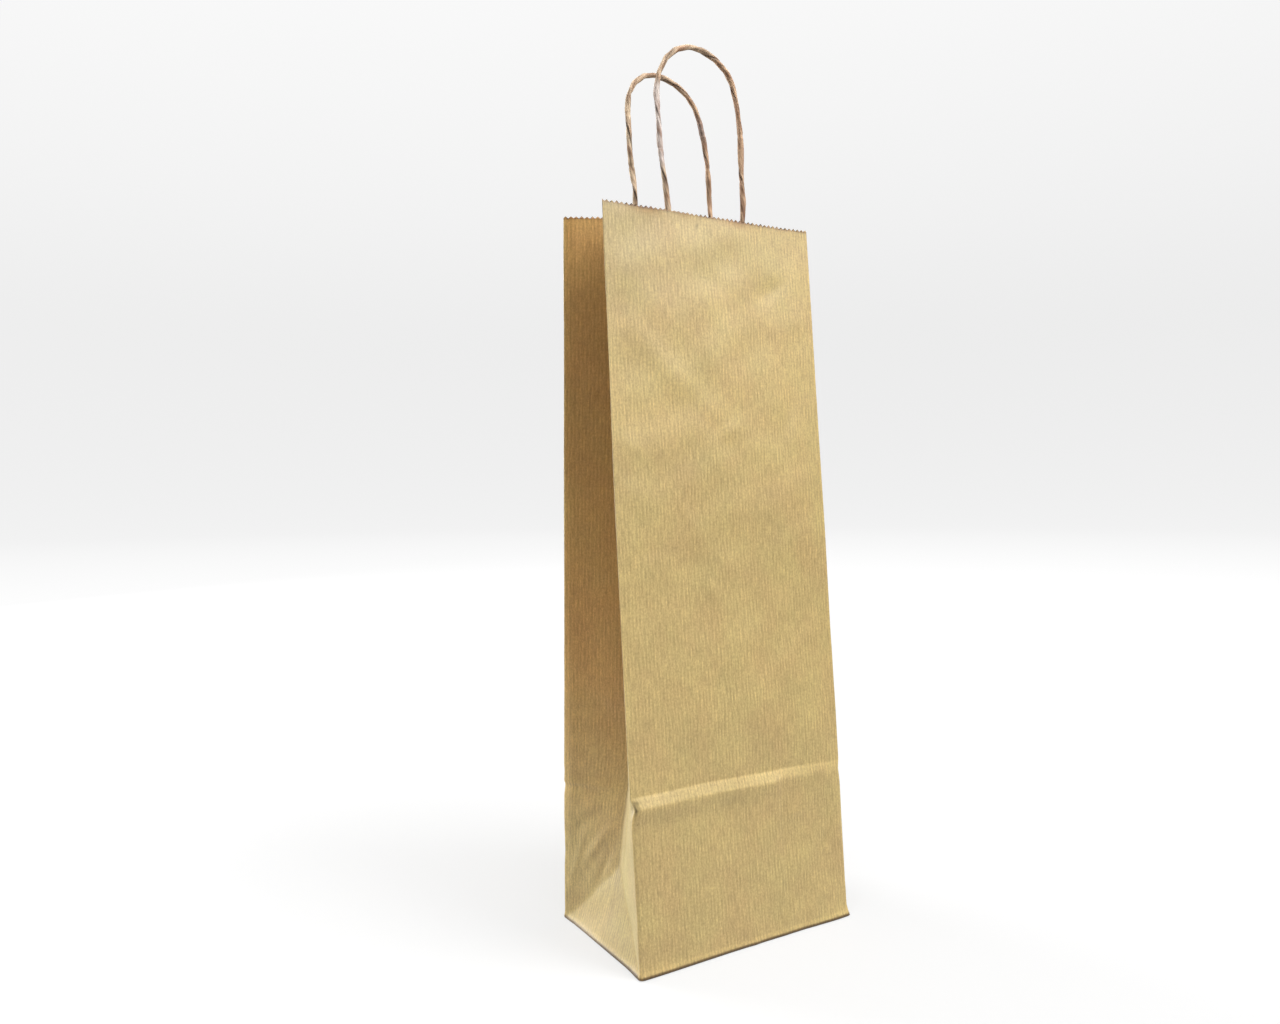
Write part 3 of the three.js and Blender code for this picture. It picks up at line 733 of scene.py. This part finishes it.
TUCK_REACH = 46 * MM
for side_name, side in (("left", -1), ("right", 1)):
    def tuck_place(u, v, depth, side=side):
        """A side flap that narrows by 20 mm at each side and rises slightly to its end."""
        half = (HALF_DEPTH - FLAP_INSET) - 20 * MM * v
        x = side * (HALF_WIDTH - FLAP_INSET - TUCK_REACH * v)
        y = (2 * u - 1) * half * side
        return np.stack([x + 0 * y, y, 1.0 * MM + depth + 0.5 * MM * v + 0 * y], -1)

    tuck = ply(f"base_{side_name}_tuck", tuck_place, DEPTH, TUCK_REACH, SHEET_THICKNESS,
               ribbed_plies)
    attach(tuck, "bag_body")
    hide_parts(f"bottom_{side_name}_tuck")


def relief_at(s, v):
    """The sheet's relief at any place on it, between the four nearest points of its grid."""
    s, v = np.broadcast_arrays(s, v)
    i = np.interp(s, columns, np.arange(len(columns)))
    j = np.interp(v, rows, np.arange(len(rows)))
    i0, j0 = i.astype(int), j.astype(int)
    i1, j1 = np.minimum(i0 + 1, len(columns) - 1), np.minimum(j0 + 1, len(rows) - 1)
    low = relief[j0, i0] * (1 - i + i0) + relief[j0, i1] * (i - i0)
    high = relief[j1, i0] * (1 - i + i0) + relief[j1, i1] * (i - i0)
    return low * (1 - j + j0) + high * (j - j0)


def front_point(x, up_, inward):
    """A point on the front panel: x across, up_ along its slant, and inward from its outer face,
    which the paper's relief moves."""
    inward = inward - relief_at(x + HALF_WIDTH, up_)
    return np.stack(np.broadcast_arrays(
        x, FRONT_Y + (up_ * FRONT_SLOPE + inward) * FRONT_COS,
        (up_ - inward * FRONT_SLOPE) * FRONT_COS), -1)


def back_point(x, up_, inward):
    """The same on the back panel, whose inward side faces the front."""
    inward = inward - relief_at(BACK_RIGHT + HALF_WIDTH - x, up_)
    return np.stack(np.broadcast_arrays(
        x, BACK_Y + (up_ * BACK_SLOPE - inward) * BACK_COS,
        (up_ + inward * BACK_SLOPE) * BACK_COS), -1)


SEAM_EDGE, SEAM_WIDTH, SEAM_FOOT, SEAM_LENGTH = 52 * MM, 11 * MM, 3 * MM, 396 * MM


def seam_place(u, v, depth):
    """A strip up the inside of the back panel, near its right edge as seen from the front."""
    return back_point(SEAM_EDGE + SEAM_WIDTH * (1 - u), SEAM_FOOT + SEAM_LENGTH * v,
                      0.75 * MM - depth)


seam = ply("glued_side_seam", seam_place, SEAM_WIDTH, SEAM_LENGTH, SHEET_THICKNESS, ribbed_plies,
           steps=(4, 90))
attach(seam, "bag_body")
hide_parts("side_seam_flap")

PATCH_WIDTH, PATCH_HEIGHT, PATCH_MARGIN = 84 * MM, 38 * MM, 9 * MM
CORD_DEPTH = 3.3 * MM  # from the panel's outer face to the cord's middle
STUB_DEPTH = 34 * MM  # how far the glued ends of a cord reach below the mouth
HANDLES = {
    "front": {"point": front_point, "turn": 1, "wall": "front_wall", "middle": -1 * MM,
              "feet": (-26.5 * MM, 25 * MM)},
    "back": {"point": back_point, "turn": -1, "wall": "bag_body", "middle": 3 * MM,
             "feet": (-23.5 * MM, 30 * MM)},
}
for name, handle in HANDLES.items():
    for layer, depth in (("outer", 0.9 * MM), ("inner", 1.3 * MM)):
        def patch_place(u, v, thick, handle=handle, layer=layer, depth=depth):
            """Flat against the panel, and the inner ply arched over the cord's ends."""
            x = handle["middle"] - (u - 0.5) * PATCH_WIDTH * handle["turn"]
            high = PANEL_HEIGHT - PATCH_MARGIN - PATCH_HEIGHT * (1 - v)
            rise = 0.0
            if layer == "inner":
                cord_end = PANEL_HEIGHT - STUB_DEPTH
                for foot in handle["feet"]:
                    arch = np.exp(-((np.abs(x - foot) / (3.1 * MM)) ** 3.2))
                    above_end = soft_ramp(high, cord_end - 4 * MM, cord_end + 1 * MM)
                    rise = np.maximum(rise, arch * above_end)
                rise = rise * 3.7 * MM
            return handle["point"](x, high, depth + rise + thick)

        patch = ply(f"{name}_patch_{layer}_ply", patch_place, PATCH_WIDTH, PATCH_HEIGHT,
                    SHEET_THICKNESS, plain_kraft, steps=(110, 30))
        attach(patch, handle["wall"])
        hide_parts(f"{name}_patch_{layer}")


# ---------------------------------------------------------------- handles
# Each handle is a strip of unglazed kraft, rolled and twisted into a stiff cord. The roll's free
# edge winds round it as a long seam, and it creases where it bends. Both ends are glued between
# the patch's plies.
def twisted_paper():
    """Unglazed brown kraft, crushed by the twist: dull, pinkish tan, paler where it is stretched
    and dark along the seam, with fine streaks along the cord and a few greyish stretches."""
    material, tree, shader = new_material("twisted unglazed kraft paper cord")
    place = add_node(tree, "UVMap", {"uv_map": "paper"}).outputs["UV"]
    # Noise in features of so much of a turn round the cord, and so many mm along it.
    noise = {}
    for part, around, along, detail, seed in (
        ("pulp", 0.35, 12, 4.0, 1.0), ("streaks", 0.07, 7, 3.0, 4.0), ("fibres", 0.05, 5, 4.0, 9.0),
    ):
        mapped = add_node(tree, "Mapping", inputs={
            "Scale": (1 / around, 1 / (along * MM), 1), "Location": (seed, seed, 0)},
            links={"Vector": place})
        noise[part] = add_node(tree, "TexNoise", inputs={"Scale": 1.0, "Detail": detail},
                               links={"Vector": mapped.outputs[0]}).outputs["Fac"]
    pulp = add_node(tree, "ValToRGB", links={"Fac": noise["pulp"]})
    pulp.color_ramp.elements[0].position, pulp.color_ramp.elements[1].position = 0.34, 0.68
    pulp.color_ramp.elements[0].color = linear("#8F6C50")
    pulp.color_ramp.elements[1].color = linear("#DAC3A4")
    streaks = add_node(tree, "MapRange", {"clamp": False}, {1: 0.3, 2: 0.7, 3: 0.78, 4: 1.2},
                       {0: noise["streaks"]})
    coloured = add_node(tree, "VectorMath", {"operation": "SCALE"},
                        links={0: pulp.outputs["Color"], "Scale": streaks.outputs[0]})
    tone = add_node(tree, "Attribute", {"attribute_name": "tone"})
    finished = add_node(tree, "VectorMath", {"operation": "MULTIPLY"},
                        links={0: coloured.outputs[0], 1: tone.outputs["Vector"]})
    tree.links.new(finished.outputs[0], shader.inputs["Base Color"])
    fibres = add_node(tree, "Bump", inputs={"Strength": 0.6, "Distance": 0.2 * MM},
                      links={"Height": noise["fibres"]})
    tree.links.new(fibres.outputs["Normal"], shader.inputs["Normal"])
    shader.inputs["Roughness"].default_value = 0.75
    shader.inputs["IOR"].default_value = 1.5
    return material


cord_paper = twisted_paper()
CORD_RADIUS = 1.6 * MM
SEAM_LEAD = 38 * MM  # one turn of the seam
SECTION_POINTS = 40


def smoothed(line, window):
    """A line of points after a running mean, with its ends held by running on past them."""
    before = 2 * line[0] - line[window:0:-1]
    after = 2 * line[-1] - line[-2 : -window - 2 : -1]
    longer = np.concatenate([before, line, after])
    kernel = np.ones(window) / window
    mean = np.stack([np.convolve(longer[:, k], kernel, "same") for k in range(3)], -1)
    return mean[window : window + len(line)]


def cord_mesh(name, line, seed, grey):
    """A cord along a line of points. Round each point goes a section in polar form: a circle
    that grows round the turn and drops back at the seam, pressed oval, pinched in places and
    crumpled in ridges that follow the twist. grey is the stretch, in metres along the cord,
    where the paper is a greyer, recycled pulp."""
    own = np.random.default_rng(seed)
    gaps = np.linalg.norm(np.diff(line, axis=0), axis=1)
    length = np.concatenate([[0], np.cumsum(gaps)])
    count = int(length[-1] / (0.4 * MM))
    t = np.linspace(0, length[-1], count)
    centre = np.stack([np.interp(t, length, line[:, k]) for k in range(3)], -1)
    kinks = np.linspace(0, t[-1], 26)
    for axis in (0, 1):
        centre[:, axis] += np.interp(t, kinks, own.uniform(-0.45, 0.45, 26)) * MM
    centre = smoothed(centre, 9)
    tangent = np.gradient(centre, axis=0)
    tangent /= np.linalg.norm(tangent, axis=1, keepdims=True)
    plane = np.array([0.0, -1.0, 0.0])
    side = np.cross(tangent, plane)
    side /= np.linalg.norm(side, axis=1, keepdims=True)
    out = np.cross(side, tangent)
    turn = np.linspace(0, 1, SECTION_POINTS, endpoint=False)
    wander = np.interp(t, np.linspace(0, t[-1], 9), own.uniform(-0.25, 0.25, 9))
    twist = (t / SEAM_LEAD + wander)[:, None]
    roll = (turn[None, :] - twist) % 1
    radius = 0.86 + 0.22 * roll
    radius *= 1 - 0.25 * np.exp(-((np.minimum(roll, 1 - roll) / 0.035) ** 2))
    slow = np.interp(t, np.linspace(0, t[-1], 24), own.uniform(0.9, 1.08, 24))[:, None]
    oval = np.interp(t, np.linspace(0, t[-1], 14), own.uniform(0.03, 0.16, 14))[:, None]
    radius *= slow * (1 + oval * np.cos(4 * np.pi * (turn[None, :] - 0.6 * twist)))
    for _ in range(9):  # crushed ridges along the twist
        ripples = own.integers(2, 7)
        phase = own.uniform(0, 1)
        beat = np.interp(t, np.linspace(0, t[-1], 30), own.uniform(-1, 1, 30))[:, None]
        radius *= 1 + 0.03 * beat * np.cos(2 * np.pi * (ripples * roll + phase))
    for _ in range(14):  # pinches across the cord
        at, width = own.uniform(0, t[-1]), own.uniform(0.5, 1.4) * MM
        radius *= 1 - own.uniform(0.04, 0.16) * np.exp(-(((t - at) / width) ** 2))[:, None]
    # Colour: slow changes along the cord, a dark seam that comes and goes, a grey stretch, pale
    # nicks across it where the paper has cracked, and browner pulp in its second half.
    slow_tone = np.interp(t, np.linspace(0, t[-1], 22), own.uniform(0.78, 1.16, 22))[:, None]
    gap = np.interp(t, np.linspace(0, t[-1], 18), own.uniform(0.1, 1.0, 18))[:, None]
    dark = 0.9 * gap * np.exp(-((np.minimum(roll, 1 - roll) / 0.06) ** 2))
    second = 0.65 * (1 - gap) * np.exp(-(((roll - 0.45) / 0.035) ** 2))
    lit = slow_tone * (1 - dark - second) * (0.9 + 0.2 * roll)
    for _ in range(16):
        at, side_at = own.uniform(0, t[-1]), own.uniform(0, 1)
        across = np.exp(-(((turn[None, :] - side_at + 0.5) % 1 - 0.5) / 0.22) ** 2)
        lit += 0.45 * across * np.exp(-(((t - at) / (0.35 * MM)) ** 2))[:, None]
    greyed = soft_ramp(t, grey[0], grey[0] + 8 * MM)
    greyed = greyed * (1 - soft_ramp(t, grey[1] - 8 * MM, grey[1]))
    greyed = greyed[:, None, None] * np.array([0.12, 0.02, -0.3])
    browner = soft_ramp(t, 0.45 * t[-1], 0.6 * t[-1])[:, None, None] * np.array([0.17, 0.29, 0.36])
    tone = lit[..., None] * (1 - greyed) * (1 - browner)
    angle = 2 * np.pi * turn
    ring = (np.cos(angle)[None, :, None] * side[:, None, :]
            + np.sin(angle)[None, :, None] * out[:, None, :])
    points = (centre[:, None, :] + CORD_RADIUS * radius[..., None] * ring).reshape(-1, 3)
    j, i = np.meshgrid(np.arange(count - 1), np.arange(SECTION_POINTS), indexing="ij")
    nxt = (i + 1) % SECTION_POINTS
    quads = np.stack([j * SECTION_POINTS + i, j * SECTION_POINTS + nxt,
                      (j + 1) * SECTION_POINTS + nxt, (j + 1) * SECTION_POINTS + i], -1)
    # Each end is closed by a ladder of quads across its ring.
    rung = np.arange(SECTION_POINTS // 2 - 1)
    cap = np.stack([rung, rung + 1, SECTION_POINTS - 2 - rung, SECTION_POINTS - 1 - rung], -1)
    last_ring = (count - 1) * SECTION_POINTS
    quads = np.concatenate([quads.reshape(-1, 4), cap[:, ::-1], cap + last_ring])
    u0 = (i / SECTION_POINTS - twist[:-1]).reshape(-1)
    u1 = (i / SECTION_POINTS - twist[1:]).reshape(-1)
    step_u = 1 / SECTION_POINTS
    v0 = np.repeat(t[:-1], SECTION_POINTS)
    v1 = np.repeat(t[1:], SECTION_POINTS)
    uv = np.stack([np.stack([u0, v0], -1), np.stack([u0 + step_u, v0], -1),
                   np.stack([u1 + step_u, v1], -1), np.stack([u1, v1], -1)], 1)
    uv = np.concatenate([uv, np.zeros((2 * len(cap), 4, 2))])
    return mesh_piece(name, points, quads, cord_paper, uv, 2 * len(cap), tone.reshape(-1, 3))


# Each loop: how far it leans back, the stretch of grey paper along it, and its points, x and
# the height above the mouth, in mm.
LOOPS = {
    "front": (5.5, (56, 112), (
        (-27, 14), (-28, 28), (-29, 42), (-29.5, 56), (-29, 69), (-26.5, 80), (-21.5, 89),
        (-14, 95.5), (-5, 99), (5, 98.5), (13.5, 95.5), (20, 89.5), (24, 81), (26.5, 69),
        (27.2, 56), (27, 42), (26.5, 28), (25.7, 14))),
    "back": (4.5, (175, 196), (
        (-23.8, 14), (-24.2, 28), (-25, 42), (-26, 56), (-26, 68), (-24.5, 78),
        (-20.5, 86.5), (-14, 92), (-6, 94.3), (2, 93.8), (10, 91), (17, 86), (22, 80),
        (26, 71), (28.5, 60), (29.5, 48), (30, 32), (30, 16))),
}
for seed, (name, handle) in enumerate(HANDLES.items(), 20):
    stub = np.linspace(PANEL_HEIGHT - STUB_DEPTH, PANEL_HEIGHT + 1 * MM, 8)
    first, last = [handle["point"](foot, stub, CORD_DEPTH) for foot in handle["feet"]]
    root = handle["point"](0.0, PANEL_HEIGHT, CORD_DEPTH)
    lean, grey, route = (np.array(value) for value in LOOPS[name])
    lean, grey, route = np.radians(lean), grey * MM, route * MM
    loop = np.stack([route[:, 0], root[1] + route[:, 1] * np.sin(lean),
                     root[2] + route[:, 1] * np.cos(lean)], -1)
    cord = cord_mesh(
        f"{name}_twisted_handle", np.concatenate([first, loop, last[::-1]]), seed, grey)
    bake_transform(cord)
    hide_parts(f"{name}_handle", f"{name}_handle_left_end", f"{name}_handle_right_end")
